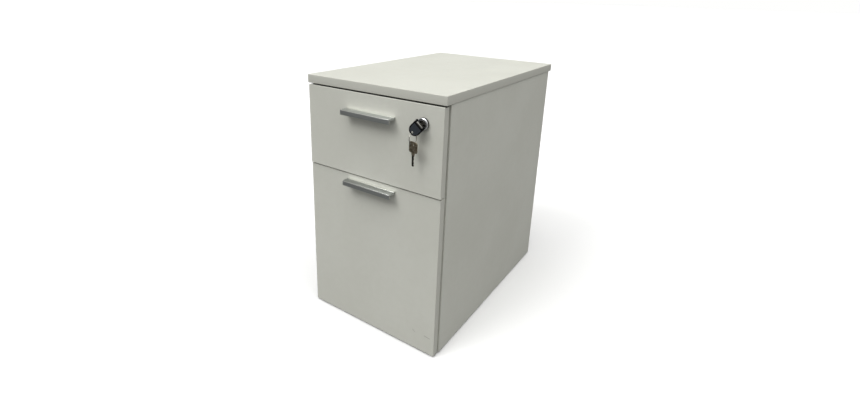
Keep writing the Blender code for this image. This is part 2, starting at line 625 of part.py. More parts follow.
# ---------------------------------------------------------------- keys
def build_key(axis):
    """The key in the lock: a flat blade with a knuckle, and the plastic head that folds on it."""
    hinge_offset = Vector((0, -KEY_HINGE_REACH, 0))
    hinge_matrix = axis.matrix_world @ Matrix.Translation(hinge_offset)
    bow_half = KEY_BOW_WIDTH / 2
    flat = KEY_BLADE_THICKNESS / 2
    root = KEY_BOW_LENGTH
    lean = math.degrees(math.asin(flat / KEY_KNUCKLE_RADIUS))
    outline = [(root, -flat), (root, flat)]
    outline += arc((0, 0), KEY_KNUCKLE_RADIUS, lean, 360 - lean, 18)
    blade = prism("key_blade", outline, "X", -bow_half, bow_half, "nickel", axis, hinge_matrix)
    half_width = KEY_BLADE_WIDTH / 2
    shank = block("key_shank", (-half_width, root / 2, -flat * 0.98),
                  (half_width, KEY_HINGE_REACH + KEY_BLADE_IN - COLLAR_REACH, flat * 0.98), None)
    shank.matrix_world = hinge_matrix @ shank.matrix_world
    attach(shank, axis)
    boolean(blade, shank, "UNION")

    fold = pivot("key_fold_axis", hinge_matrix.translation,
                 hinge_matrix.to_3x3().to_4x4() @ Matrix.Rotation(KEY_FOLD, 4, "X"), axis)
    head_matrix = fold.matrix_world
    side = HEAD_WIDTH / 2
    straight = HEAD_LENGTH - side
    outline = [(side, HEAD_FORK), (-side, HEAD_FORK)]
    outline += arc((0, -straight), side, 180, 360, 17)
    head = prism("key_head", outline, "Z", -HEAD_THICKNESS / 2, HEAD_THICKNESS / 2,
                 "black_plastic", fold, head_matrix)
    fork_half = bow_half + PLAY
    clear = KEY_KNUCKLE_RADIUS + PLAY
    fork = block("key_fork_cut", (-fork_half, -clear, -HEAD_THICKNESS),
                 (fork_half, HEAD_FORK * 2, HEAD_THICKNESS), None)
    inner_side = side - HEAD_RIM
    pocket_top = -clear - HEAD_RIM
    pocket = [(inner_side, pocket_top), (-inner_side, pocket_top)]
    pocket += arc((0, -straight), inner_side, 180, 360, 13)
    tools = [fork]
    relief = RING_HOLE_RADIUS + RING_HOLE_RIM
    floor = HEAD_THICKNESS / 2 - HEAD_POCKET
    for label, start, end in (("upper", floor, HEAD_THICKNESS), ("lower", -HEAD_THICKNESS, -floor)):
        tools.append(prism(f"key_pocket_{label}_cut", pocket, "Z", start, end, None))
        tools.append(block(f"key_relief_{label}_cut", (-relief, -HEAD_LENGTH - relief, start),
                           (relief, -RING_HOLE, end), None))
    tools.append(rod("key_ring_hole_cut", RING_HOLE_RADIUS, (0, -RING_HOLE, -HEAD_THICKNESS),
                     (0, -RING_HOLE, HEAD_THICKNESS), 20, None))
    tools.append(rod("key_pin_hole_cut", FOLD_PIN_RADIUS + GAP, (-side * 2, 0, 0),
                     (side * 2, 0, 0), 12, None))
    for tool in tools:
        tool.matrix_world = head_matrix @ tool.matrix_world
        attach(tool, fold)
        boolean(head, tool, "DIFFERENCE")
    boolean(blade, tools[-1], "DIFFERENCE")
    pin = rod("key_fold_pin", FOLD_PIN_RADIUS, (-side + GAP, 0, 0), (side - GAP, 0, 0), 12,
              "nickel")
    pin.matrix_world = head_matrix @ pin.matrix_world
    attach(pin, fold)
    return fold, head_matrix @ Vector((0, -RING_HOLE, 0))


def build_spare_key(fold, hole):
    """The wire ring through the head and the flat spare key that hangs on it."""
    ring_pivot = pivot("key_ring_pivot", hole, None, fold)
    up = Vector((-math.sin(RING_LEAN), 0, math.cos(RING_LEAN)))
    centre = hole - RING_RADIUS * up
    profile = arc((RING_RADIUS, 0), RING_WIRE_RADIUS, 0, 315, 8)
    turned("key_ring", profile, 40, "nickel", ring_pivot,
           Matrix.Translation(centre) @ Matrix.Rotation(math.radians(90) - RING_LEAN, 4, "Y"),
           closed=True)

    low = centre - RING_RADIUS * up
    spare_pivot = pivot("spare_key_pivot", low, None, ring_pivot)
    hang = SPARE_HOLE_RADIUS - RING_WIRE_RADIUS - GAP
    frame = Matrix.Translation(low - Vector((0, 0, hang))) @ Matrix.Rotation(SPARE_YAW, 4, "Z")
    half = SPARE_HEAD_WIDTH / 2
    top = SPARE_HOLE_DROP
    foot = top - SPARE_HEAD_HEIGHT
    corner = SPARE_CORNER
    neck = SPARE_NECK_WIDTH / 2
    blade = SPARE_BLADE_WIDTH / 2
    tip = top - SPARE_LENGTH
    outline = arc((half - corner, top - corner), corner, 0, 90, 5)
    outline += arc((corner - half, top - corner), corner, 90, 180, 5)
    outline += arc((corner - half, foot + corner), corner, 180, 250, 4)
    outline += [(-neck, foot), (-neck, foot - SPARE_NECK / 2), (-blade, foot - SPARE_NECK),
                (-blade, tip + blade), (-blade / 3, tip), (blade / 3, tip), (blade, tip + blade),
                (blade, foot - SPARE_NECK), (neck, foot - SPARE_NECK / 2), (neck, foot)]
    outline += arc((half - corner, foot + corner), corner, 290, 360, 4)
    key = prism("spare_key", outline, "Y", -SPARE_THICKNESS / 2, SPARE_THICKNESS / 2,
                "bronze_nickel", spare_pivot, frame)
    tool = rod("spare_key_hole_cut", SPARE_HOLE_RADIUS, (0, -SPARE_THICKNESS, 0),
               (0, SPARE_THICKNESS, 0), 16, None)
    tool.matrix_world = frame @ tool.matrix_world
    attach(tool, spare_pivot)
    boolean(key, tool, "DIFFERENCE")


# ---------------------------------------------------------------- assembly
def build():
    """Model the whole cabinet."""
    for obj in list(bpy.data.objects):
        bpy.data.objects.remove(obj, do_unlink=True)
    build_carcass()
    upper_front, upper = build_drawer("upper", UPPER_FRONT_LOW, UPPER_FRONT_TOP, UPPER_FRONT_SHIFT,
                                      UPPER_FACE, UPPER_BOX_RAISE, UPPER_BOX_HEIGHT,
                                      UPPER_RUNNER_RAISE)
    lower_front, lower = build_drawer("lower", BASE, LOWER_FRONT_TOP, LOWER_FRONT_SHIFT,
                                      CLOSED_FACE, LOWER_BOX_RAISE, LOWER_BOX_HEIGHT,
                                      LOWER_RUNNER_RAISE)
    build_handle("upper", upper_front, upper, UPPER_FACE, UPPER_FRONT_TOP - UPPER_HANDLE_DROP,
                 UPPER_HANDLE_SHIFT)
    build_handle("lower", lower_front, lower, CLOSED_FACE, LOWER_FRONT_TOP - LOWER_HANDLE_DROP,
                 LOWER_HANDLE_SHIFT)
    lower_low = BASE + LOWER_BOX_RAISE
    lower_high = lower_low + LOWER_BOX_HEIGHT
    build_file_rails(lower, CLOSED_FACE, lower_low, lower_high)
    axis = build_lock(upper_front, upper)
    upper_high = UPPER_FRONT_LOW + UPPER_BOX_RAISE + UPPER_BOX_HEIGHT
    catch_front = BAR_Y + BAR_PIN_RADIUS + PIN_CLEARANCE
    build_lock_bar((("upper", upper, catch_front, upper_high - 2 * CATCH_HEIGHT),
                    ("lower", lower, catch_front, lower_high - 2 * CATCH_HEIGHT)))
    fold, hole = build_key(axis)
    build_spare_key(fold, hole)


build()
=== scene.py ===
"""Looks of the two-drawer pedestal cabinet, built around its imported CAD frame.

The boards get rounded arrises, edge banding and the fine joint beside it; the handles, lock and
keys get their worked shapes; every CAD node that stays gets a finish of its own.  Metres, +Z up,
the fronts face -Y.
"""
import json
import math

import bpy
import numpy as np
from mathutils import Matrix, Vector


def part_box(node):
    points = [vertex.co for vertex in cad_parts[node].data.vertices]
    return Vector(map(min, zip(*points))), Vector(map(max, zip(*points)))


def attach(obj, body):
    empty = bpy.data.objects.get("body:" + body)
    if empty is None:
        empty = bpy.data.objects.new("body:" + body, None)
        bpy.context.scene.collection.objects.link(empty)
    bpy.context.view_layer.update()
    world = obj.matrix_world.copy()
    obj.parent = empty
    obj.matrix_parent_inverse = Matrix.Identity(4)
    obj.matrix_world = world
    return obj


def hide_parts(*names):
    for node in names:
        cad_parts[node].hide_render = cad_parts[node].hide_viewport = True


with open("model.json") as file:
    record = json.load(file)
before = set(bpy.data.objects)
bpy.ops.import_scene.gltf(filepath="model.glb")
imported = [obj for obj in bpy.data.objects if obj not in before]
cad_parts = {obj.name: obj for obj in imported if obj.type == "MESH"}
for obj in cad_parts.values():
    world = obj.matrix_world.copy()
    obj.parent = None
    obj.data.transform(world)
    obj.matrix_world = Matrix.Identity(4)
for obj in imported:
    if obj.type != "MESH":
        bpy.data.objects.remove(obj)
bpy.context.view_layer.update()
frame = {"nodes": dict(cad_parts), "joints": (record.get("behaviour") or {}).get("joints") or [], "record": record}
NODES = frame["nodes"]
JOINTS = {joint["name"]: joint for joint in frame["joints"]}


# ---------------------------------------------------------------- shader arithmetic
class Value:
    """One socket of a material; arithmetic on it adds Math nodes."""

    def __init__(self, finish, socket):
        self.finish = finish
        self.socket = socket

    def maths(self, operation, *terms):
        """One Math node."""
        return self.finish.node("ShaderNodeMath", {"operation": operation},
                                dict(enumerate(terms)))

    def __add__(self, other):
        return self.maths("ADD", self, other)

    def __sub__(self, other):
        return self.maths("SUBTRACT", self, other)

    def __rsub__(self, other):
        return self.maths("SUBTRACT", other, self)

    def __mul__(self, other):
        return self.maths("MULTIPLY", self, other)

    def __pow__(self, other):
        return self.maths("POWER", self, other)

    def __abs__(self):
        return self.maths("ABSOLUTE", self)

    __radd__ = __add__
    __rmul__ = __mul__

    def most(self, other):
        """The greater of the two."""
        return self.maths("MAXIMUM", self, other)

    def step(self, low, high):
        """0 below low, 1 above high and a smooth rise between them."""
        return self.finish.node("ShaderNodeMapRange", {"interpolation_type": "SMOOTHSTEP"},
                                {"Value": self, "From Min": low, "From Max": high})


class Finish:
    """A Principled material; constants sit on the shader's own sockets."""

    def __init__(self, name, **constants):
        self.material = bpy.data.materials.new(name)
        self.material.use_nodes = True
        self.tree = self.material.node_tree
        self.shader = self.tree.nodes["Principled BSDF"]
        self.set(**constants)
        self.place = self.node("ShaderNodeTexCoord", {}, {}, "Object")

    def feed(self, socket, value):
        """Link a Value to a socket, or set a plain value on it."""
        if isinstance(value, Value):
            self.tree.links.new(value.socket, socket)
        elif hasattr(value, "__len__") and len(value) == 3 and socket.type == "RGBA":
            socket.default_value = (*value, 1.0)
        else:
            socket.default_value = value

    def node(self, kind, settings, sockets, output=0):
        """Any node: its settings first, then the values or links of its sockets."""
        made = self.tree.nodes.new(kind)
        for key, value in settings.items():
            if key == "stops":
                ramp = made.color_ramp
                for element, (position, colour) in zip(
                        [ramp.elements[0], *[ramp.elements.new(p) for p, _ in value[1:-1]],
                         ramp.elements[-1]], value):
                    element.position = position
                    element.color = (*colour, 1.0)
            else:
                setattr(made, key, value)
        for socket, value in sockets.items():
            self.feed(made.inputs[socket], value)
        return Value(self, made.outputs[output])

    def stretched(self, scale):
        """Object coordinates, scaled."""
        return self.node("ShaderNodeMapping", {}, {"Vector": self.place, "Scale": scale})

    def noise(self, scale, detail=2.0, roughness=0.5, at=None):
        """Noise from 0 to 1, with scale lumps to the metre."""
        return self.node("ShaderNodeTexNoise", {}, {"Vector": at or self.place, "Scale": scale,
                                                    "Detail": detail, "Roughness": roughness},
                         "Fac")

    def axes(self):
        """X, Y and Z of the object coordinates as three values."""
        split = self.node("ShaderNodeSeparateXYZ", {}, {0: self.place})
        return [Value(self, socket) for socket in split.socket.node.outputs]

    def mix(self, share, first, second):
        """The first colour where share is 0 and the second where it is 1."""
        return self.node("ShaderNodeMix", {"data_type": "RGBA"}, {0: share, 6: first, 7: second}, 2)

    def set(self, **sockets):
        """Values or links of the shader's own sockets, by their names in small letters."""
        for socket, value in sockets.items():
            name = socket.replace("_", " ").title().replace("Ior", "IOR")
            self.feed(self.shader.inputs[name], value)
        return self

    def bump(self, height, depth):
        """Height from 0 to 1 stands for depth in metres."""
        normal = self.node("ShaderNodeBump", {}, {"Strength": 1.0, "Distance": depth,
                                                  "Height": height})
        return self.set(normal=normal)


# ---------------------------------------------------------------- finishes
SCRATCH_TONE = (0.33, 0.32, 0.28)
SCRATCH_EASE = (0.002, 0.004)  # lengths over which a scratch starts and ends
# Painted shade: a near-black tone for the top edge of the upper front, where it lies in the shadowed gap under the
# top board.
GAP_SHADE_TONE = (0.030, 0.029, 0.025)
GAP_SHADE_EASE = (0.0010, 0.0012)   # height and depth over which the painted shade deepens


def board_finish(name, colour, worn, gloss, scratches=()):
    """Melamine face: a fine pearl grain, faint cloudy mottling, and smudges in its sheen.

    Each scratch is where it starts, its run and rise, and its half width.  Its mark is 1 along
    that line and falls off across it, with a wobbling edge.
    """
    made = Finish(name, roughness=gloss, specular_ior_level=0.5)
    cloud = made.noise(5.0, 3.0)
    fine = made.noise(60.0, 4.0, 0.6)
    shade = (cloud * 0.7 + fine * 0.3).step(0.36, 0.66)
    pearl = made.noise(1500.0, 2.0)
    smudge = made.noise(16.0, 5.0, 0.62).step(0.46, 0.74)
    tint = made.mix(shade, worn, colour)
    height = pearl
    sheen = smudge * 0.09 + gloss + pearl * 0.03
    for (x, z), (run, rise), half in scratches:
        px, _, pz = made.axes()
        length = math.hypot(run, rise)
        along = (px - x) * (run / length) + (pz - z) * (rise / length)
        across = abs((px - x) * (-rise / length) + (pz - z) * (run / length))
        wobble = made.noise(90.0, 2.0) * half
        begins = along.step(0.0, SCRATCH_EASE[0])
        ends = along.step(length - SCRATCH_EASE[1], length)
        mark = (1.0 - (across - wobble).step(half * 0.2, half)) * begins * (1.0 - ends)
        tint = made.mix(mark * 0.5, tint, SCRATCH_TONE)
        height = height - mark * 1.5
    made.set(base_color=tint, roughness=sheen)
    return made.bump(height, 0.00001)


def edging_finish(name, colour, painted_gap_shade=None):
    """Edge banding: a slightly greyer strip with a fine grain.

    The third argument, if given, is a height and a depth: painted shade of the gap under the
    top board darkens the edge above the one and behind the other.
    """
    made = Finish(name, specular_ior_level=0.5)
    tone = made.noise(9.0, 3.0)
    tint = made.mix(tone, [c * 0.95 for c in colour], colour)
    if painted_gap_shade:
        _, y, z = made.axes()
        above, behind = painted_gap_shade
        # Painted shade: above the height and behind the depth the edge turns nearly black, standing for the shadow
        # in the gap under the top.
        gap_shade_share = z.step(above - GAP_SHADE_EASE[0], above) * y.step(behind, behind + GAP_SHADE_EASE[1])
        tint = made.mix(gap_shade_share * (made.noise(70.0, 3.0) * 0.10 + 0.88), tint, GAP_SHADE_TONE)
    made.set(base_color=tint, roughness=made.noise(30.0, 3.0) * 0.12 + 0.30)
    return made.bump(made.noise(900.0, 3.0, 0.6), 0.000008)


DRAWN_ALONG_X = (18.0, 2600.0, 2600.0)     # streaks to the metre along X, Y and Z
COARSER = 0.21


def brushed_finish(name, colour, gloss, streak=0.12):
    """Metal drawn along X: long fine streaks in its colour, sheen and relief."""
    made = Finish(name, metallic=1.0)
    fine = made.noise(1.0, 2.0, 0.6, made.stretched(DRAWN_ALONG_X))
    coarse = made.noise(1.0, 2.0, 0.5, made.stretched([a * COARSER for a in DRAWN_ALONG_X]))
    lines = fine * 0.65 + coarse * 0.35
    made.set(base_color=made.mix(lines.step(0.25, 0.75), [c * (1 - streak) for c in colour],
                                 [min(1.0, c * (1 + streak)) for c in colour]),
             roughness=lines * 0.14 + gloss)
    return made.bump(lines, 0.000012)


WIPED_ALONG_Z = (400.0, 400.0, 120.0)
ROLLED_ALONG_Y = (1400.0, 30.0, 1400.0)


def polished_finish(name, colour, gloss, haze=0.08):
    """Plated metal: bright, with faint wiping marks and tiny pits."""
    made = Finish(name, metallic=1.0)
    wipe = made.noise(1.0, 3.0, 0.6, made.stretched(WIPED_ALONG_Z))
    pit = made.noise(2600.0, 1.0).step(0.66, 0.74)
    made.set(base_color=made.mix(wipe, [c * 0.9 for c in colour], colour),
             roughness=wipe.step(0.4, 0.75) * haze + gloss + pit * 0.1)
    return made.bump(1.0 - pit, 0.000006)


def zinc_finish(name):
    """Bright zinc plate: rolled lines, spangle-like clouds and a slight blue cast."""
    made = Finish(name, metallic=1.0)
    rolled = made.noise(1.0, 3.0, 0.6, made.stretched(ROLLED_ALONG_Y))
    cloud = made.noise(35.0, 3.0, 0.6)
    made.set(base_color=made.mix(cloud.step(0.3, 0.7), (0.50, 0.52, 0.55), (0.66, 0.66, 0.64)),
             roughness=rolled * 0.16 + 0.24)
    return made.bump(rolled, 0.00001)


TARNISH = ((0.30, (0.10, 0.082, 0.055)), (0.50, (0.26, 0.22, 0.155)), (0.72, (0.46, 0.41, 0.32)))
TARNISH_SPECK = (0.07, 0.058, 0.04)


def tarnished_finish(name):
    """Nickel worn through to brass: bronze patches, darker in the hollows."""
    made = Finish(name, metallic=1.0)
    patch = made.noise(210.0, 4.0, 0.65)
    speck = made.noise(1300.0, 2.0).step(0.5, 0.7)
    tint = made.node("ShaderNodeValToRGB", {"stops": TARNISH}, {0: patch})
    made.set(base_color=made.mix(speck * 0.35, tint, TARNISH_SPECK),
             roughness=patch * 0.22 + 0.22)
    return made.bump(patch, 0.00002)


def moulded_finish(name, colour, gloss, grain=0.00001, shine=0.5):
    """Moulded plastic: fine grain and slightly uneven gloss."""
    made = Finish(name, specular_ior_level=shine)
    fine = made.noise(2200.0, 2.0)
    wear = made.noise(120.0, 3.0, 0.6)
    made.set(base_color=made.mix(wear, [c * 0.8 for c in colour], [c * 1.15 for c in colour]),
             roughness=wear * 0.14 + gloss)
    return made.bump(fine, grain)


WHITE = (0.735, 0.740, 0.672)
WHITE_WORN = (0.700, 0.704, 0.634)
EDGE_WHITE = (0.655, 0.657, 0.592)
INSIDE_WHITE = (0.76, 0.76, 0.71)
INSIDE_WHITE_WORN = (0.71, 0.71, 0.655)
MELAMINE_GLOSS = 0.34

lower_low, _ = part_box("lower_front")
SCRATCHES = (                  # place, run and rise, half width
    ((lower_low.x + 0.328, lower_low.z + 0.052), (0.010, -0.007), 0.0007),
    ((lower_low.x + 0.362, lower_low.z + 0.048), (0.020, -0.002), 0.0009))
# Height and depth past which the upper front's top edge lies in the gap under the top board and takes painted
# shade.
PAINTED_GAP_SHADE = (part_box("upper_front")[1].z - 0.0002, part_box("top_panel")[0].y)
MELAMINE = board_finish("melamine_face", WHITE, WHITE_WORN, MELAMINE_GLOSS)
MELAMINE_SCRATCHED = board_finish("melamine_face_scratched", WHITE, WHITE_WORN, MELAMINE_GLOSS,
                                  SCRATCHES)
EDGING = edging_finish("edge_banding", EDGE_WHITE)
# Banding with painted shade on its top edge, for the upper front.
EDGING_PAINTED_SHADE = edging_finish("edge_banding_dusty", EDGE_WHITE, PAINTED_GAP_SHADE)
INSIDE_BOARD = board_finish("drawer_melamine", INSIDE_WHITE, INSIDE_WHITE_WORN, 0.42)
# Three copies of one brushed aluminium for the handles: the bright one is a painted highlight, the slightly darker
# one is painted shade.
BRUSHED_PAINTED_HIGHLIGHT = brushed_finish("brushed_aluminium_ledge", (0.90, 0.91, 0.88), 0.20, 0.04)
BRUSHED_TOP = brushed_finish("brushed_aluminium", (0.55, 0.57, 0.56), 0.26)
BRUSHED_PAINTED_SHADE = brushed_finish("brushed_aluminium_lip", (0.50, 0.52, 0.51), 0.30)
CHROME = polished_finish("polished_chrome", (0.74, 0.75, 0.77), 0.07)
# A dark copy of the chrome: painted shade and dark reflection for the lock collar's side and hollow face.
CHROME_PAINTED_SHADE = polished_finish("black_chrome", (0.060, 0.060, 0.064), 0.12)
KEY_NICKEL = polished_finish("dulled_nickel", (0.22, 0.215, 0.20), 0.26, 0.12)
PLUG_STEEL = polished_finish("worn_plug_face", (0.17, 0.165, 0.155), 0.24, 0.12)
RING_STEEL = polished_finish("ring_wire", (0.36, 0.35, 0.31), 0.22, 0.10)
NICKEL = polished_finish("nickel_plate", (0.56, 0.55, 0.51), 0.20, 0.12)
ZINC = zinc_finish("zinc_plate")
TARNISHED = tarnished_finish("tarnished_nickel")
KEY_STEEL = polished_finish("darkened_blade", (0.045, 0.040, 0.032), 0.34, 0.12)
BLACK = moulded_finish("black_plastic", (0.004, 0.004, 0.005), 0.20, 0.000006, 0.15)
RECESS = moulded_finish("blue_grey_inlay", (0.024, 0.030, 0.038), 0.30, 0.000008)
GREY = moulded_finish("grey_plastic", (0.18, 0.18, 0.18), 0.42)
FINISH_OF_SLOT = {
    "board": MELAMINE, "drawer_board": INSIDE_BOARD, "zinc": ZINC, "satin_aluminium": BRUSHED_TOP,
    "chrome": CHROME, "nickel": NICKEL, "bronze_nickel": TARNISHED, "black_plastic": BLACK,
    "grey_plastic": GREY,
}
SLOT_OF_NODE = {row["node"]: row["material_slot"] for row in frame["record"]["subparts"]}
BODY_OF_NODE = {node: joint_body for joint_body, nodes in
                frame["record"]["behaviour"]["bodies"].items() for node in nodes}

for node, obj in NODES.items():
    obj.material_slots[0].material = FINISH_OF_SLOT[SLOT_OF_NODE[node]].material
# The lock plug's face gets a dark steel.
NODES["lock_plug"].material_slots[0].material = PLUG_STEEL.material


# ---------------------------------------------------------------- surfaces
def skin(rings, closed=False):
    """Quads between neighbouring rings of points; open ends are closed by one flat face each."""
    rings = np.asarray(rings, float)
    count, around = rings.shape[:2]
    index = np.arange(count * around).reshape(count, around)
    last = count if closed else count - 1
    lower = index[np.arange(last)]
    upper = index[(np.arange(last) + 1) % count]
    quads = np.stack([lower, np.roll(lower, -1, 1), np.roll(upper, -1, 1), upper], -1)
    faces = quads.reshape(-1, 4).tolist()
    if not closed:
        faces += [index[0, ::-1].tolist(), index[-1].tolist()]
    return rings.reshape(-1, 3), faces


def volume(points, faces):
    """Six times the volume that the faces enclose; below zero where they point inwards."""
    fans = [(f[0], a, b) for f in faces for a, b in zip(f[1:], f[2:])]
    a, b, c = points[np.array(fans)].transpose(1, 0, 2)
    return float(np.einsum("ij,ij->i", a, np.cross(b, c)).sum())


def add_piece(name, shells, node, stands_for=(), sharp=32.0):
    """Join closed shells into one object that rides with a CAD node's body.

    Each shell is (points, faces, finishes, marks): marks gives each face's place in finishes.
    """
    all_points, all_faces, all_marks, worn = [], [], [], []
    offset = 0
    for points, faces, finishes, marks in shells:
        middle = points.mean(0)
        if volume(points - middle, faces) < 0:
            faces = [face[::-1] for face in faces]
        places = []
        for finish in finishes:
            if finish not in worn:
                worn.append(finish)
            places.append(worn.index(finish))
        all_points.append(points)
        all_faces += [[i + offset for i in face] for face in faces]
        all_marks += [places[m] for m in (marks or [0] * len(faces))]
        offset += len(points)
    mesh = bpy.data.meshes.new(name)
    mesh.from_pydata(np.concatenate(all_points).tolist(), [], all_faces)
    for finish in worn:
        mesh.materials.append(finish.material)
    mesh.polygons.foreach_set("material_index", np.array(all_marks, np.int32))
    mesh.update()
    mesh.shade_smooth()
    mesh.set_sharp_from_angle(angle=math.radians(sharp))
    piece = bpy.data.objects.new(name, mesh)
    bpy.context.scene.collection.objects.link(piece)
    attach(piece, BODY_OF_NODE[node])
    if stands_for:
        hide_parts(*stands_for)
    return piece


def placed(points, matrix):
    """Points carried from a piece's own frame to the cabinet's."""
    turn = np.array(matrix)
    return points @ turn[:3, :3].T + turn[:3, 3]


def drawn_in(outline, inset):
    """A closed outline moved inwards by inset, each corner along the mitre of its two edges."""
    edges = np.roll(outline, -1, 0) - outline
    normal = np.stack([edges[:, 1], -edges[:, 0]], 1) / np.linalg.norm(edges, axis=1)[:, None]
    before = np.roll(normal, 1, 0)
    mitre = (normal + before) / (1 + (normal * before).sum(1))[:, None]
    following = np.roll(outline, -1, 0)
    turn = (outline[:, 0] * following[:, 1] - outline[:, 1] * following[:, 0]).sum()
    return outline - inset * math.copysign(1.0, turn) * mitre


def carried(outline, axis, start, end, edge, steps=3):
    """An outline carried straight along an axis; both ends shrink by a quarter round of edge."""
    turn = np.linspace(0, math.pi / 2, steps + 1)
    near = [(start + edge * (1 - math.sin(a)), edge * (1 - math.cos(a))) for a in turn[::-1]]
    far = [(end - edge * (1 - math.sin(a)), edge * (1 - math.cos(a))) for a in turn]
    order = {"X": (1, 2, 0), "Y": (0, 2, 1), "Z": (0, 1, 2)}[axis]
    rings = []
    for level, inset in near + far:
        ring = np.empty((len(outline), 3))
        ring[:, order[:2]] = drawn_in(outline, inset)
        ring[:, order[2]] = level
        rings.append(ring)
    return skin(rings)


def turned(profile, segments, radius_of=None, closed=False):
    """Radius and height pairs turned about Z; radius_of(angle, radius, height) reshapes them."""
    profile = np.asarray(profile, float)
    angle = np.linspace(0, 2 * math.pi, segments, endpoint=False)[None, :]
    radius, height = profile[:, :1] + 0 * angle, profile[:, 1:] + 0 * angle
    if radius_of is not None:
        radius = radius_of(angle + 0 * radius, radius, height)
    rings = np.stack([radius * np.cos(angle), radius * np.sin(angle), height], -1)
    return skin(rings, closed)


def arc(centre, radius, start, end, steps):
    """Points on an arc between two angles in degrees."""
    angle = np.radians(np.linspace(start, end, steps))
    return np.stack([centre[0] + radius * np.cos(angle), centre[1] + radius * np.sin(angle)], 1)


# ---------------------------------------------------------------- boards
ARRIS = 0.0009
BAND = 0.0010                  # thickness of the edge banding
SEAM = 0.00012                 # half width of the joint beside it
SEAM_DEPTH = 0.00010
STEEP = 1e-5                   # run of a pocket's walls
SAME = 1e-6                    # levels closer than this are one


def grid_lines(low, high, arris, extra):
    """Levels along one side, closer together where the edges are rounded."""
    ends = arris * (1 - np.tan(np.radians([45.0, 30.0, 15.0, 0.0])))
    return np.unique(np.round(np.concatenate([low + ends, high - ends, extra]), 8))


def board(name, node, face_finish=MELAMINE, arris=ARRIS, banded=True, pocket=None,
          edge_finish=EDGING):
    """A board that stands for its CAD node.

    Six grids make a box.  Each point is pulled to the distance arris from the box shrunk by
    arris, which rounds every edge.  On the two large faces the points one band's thickness from
    the edge sink a little, and points over the pocket sink to its depth.
    """
    low, high = (np.array(corner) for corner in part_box(node))
    thin = int(np.argmin(high - low))
    axes = []
    for axis in range(3):
        extra = []
        if axis != thin and banded:
            for edge in (low[axis] + BAND, high[axis] - BAND):
                extra += [edge - SEAM, edge, edge + SEAM]
        if axis != thin and pocket:
            first, final = pocket[axis]
            extra += [first, first + STEEP, final - STEEP, final]
        axes.append(grid_lines(low[axis], high[axis], arris, extra))
    points, faces, marks = [], [], []
    start = 0
    for axis in range(3):
        u, v = [a for a in range(3) if a != axis]
        for side, level in ((-1, low[axis]), (1, high[axis])):
            p = np.empty((len(axes[u]), len(axes[v]), 3))
            p[..., u], p[..., v] = np.meshgrid(axes[u], axes[v], indexing="ij")
            p[..., axis] = level
            core = np.clip(p, low + arris, high - arris)
            away = p - core
            out = core + arris * away / np.linalg.norm(away, axis=-1, keepdims=True)
            inset = np.minimum.reduce([p[..., u] - low[u], high[u] - p[..., u],
                                       p[..., v] - low[v], high[v] - p[..., v]])
            if axis == thin and banded:
                out[..., axis] -= side * SEAM_DEPTH * (abs(inset - BAND) < SAME)
            if axis == thin and pocket and side == pocket["side"]:
                within = ((p[..., u] > pocket[u][0] + STEEP / 2)
                          & (p[..., u] < pocket[u][1] - STEEP / 2)
                          & (p[..., v] > pocket[v][0] + STEEP / 2)
                          & (p[..., v] < pocket[v][1] - STEEP / 2))
                out[..., axis] -= side * pocket["depth"] * within
            index = start + np.arange(out.shape[0] * out.shape[1]).reshape(out.shape[:2])
            quad = np.stack([index[:-1, :-1], index[1:, :-1], index[1:, 1:], index[:-1, 1:]], -1)
            if side * (1, -1, 1)[axis] < 0:
                quad = quad[..., ::-1]
            centre = (inset[:-1, :-1] + inset[1:, 1:]) / 2
            on_face = (axis == thin) & ((centre > BAND) | (not banded))
            points.append(out.reshape(-1, 3))
            faces.append(quad.reshape(-1, 4))
            marks.append(np.where(on_face, 0, 1).ravel())
            start += index.size
    points = np.concatenate(points)
    _, first, merged = np.unique(np.round(points, 7), axis=0, return_index=True,
                                 return_inverse=True)
    faces = merged.ravel()[np.concatenate(faces)]
    finishes = [face_finish, edge_finish if banded else face_finish]
    add_piece(name, [(points[first], faces.tolist(), finishes, np.concatenate(marks).tolist())],
              node, [node])


bar_low, bar_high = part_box("lock_bar")
plate_low, plate_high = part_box("lock_bar_actuator")
side_low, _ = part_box("right_side_panel")
LIFT = JOINTS["lock_bar_lift"]["range_m"][1]
BAR_PLAY = 0.0006
GROOVE = {1: (plate_low.y - BAR_PLAY, plate_high.y + BAR_PLAY),       # along Y, and along Z
          2: (bar_low.z - BAR_PLAY, bar_high.z + LIFT + BAR_PLAY),
          "side": -1, "depth": bar_high.x - side_low.x + BAR_PLAY}
board("top_board", "top_panel", arris=0.0011)
board("left_side_board", "left_side_panel")
board("right_side_board", "right_side_panel", pocket=GROOVE)
board("back_board", "back_panel", arris=0.0004)
board("bottom_board", "bottom_panel", arris=0.0004)
board("front_rail_board", "front_rail", INSIDE_BOARD, 0.0005, banded=False)
# Its top edge takes the painted shade of the gap under the top board.
board("upper_front_board", "upper_front", edge_finish=EDGING_PAINTED_SHADE)
board("lower_front_board", "lower_front", MELAMINE_SCRATCHED)
for drawer in ("upper", "lower"):
    board(f"{drawer}_drawer_back_board", f"{drawer}_drawer_back", INSIDE_BOARD, 0.0006, False)
    board(f"{drawer}_drawer_base_board", f"{drawer}_drawer_base", INSIDE_BOARD, 0.0003, False)


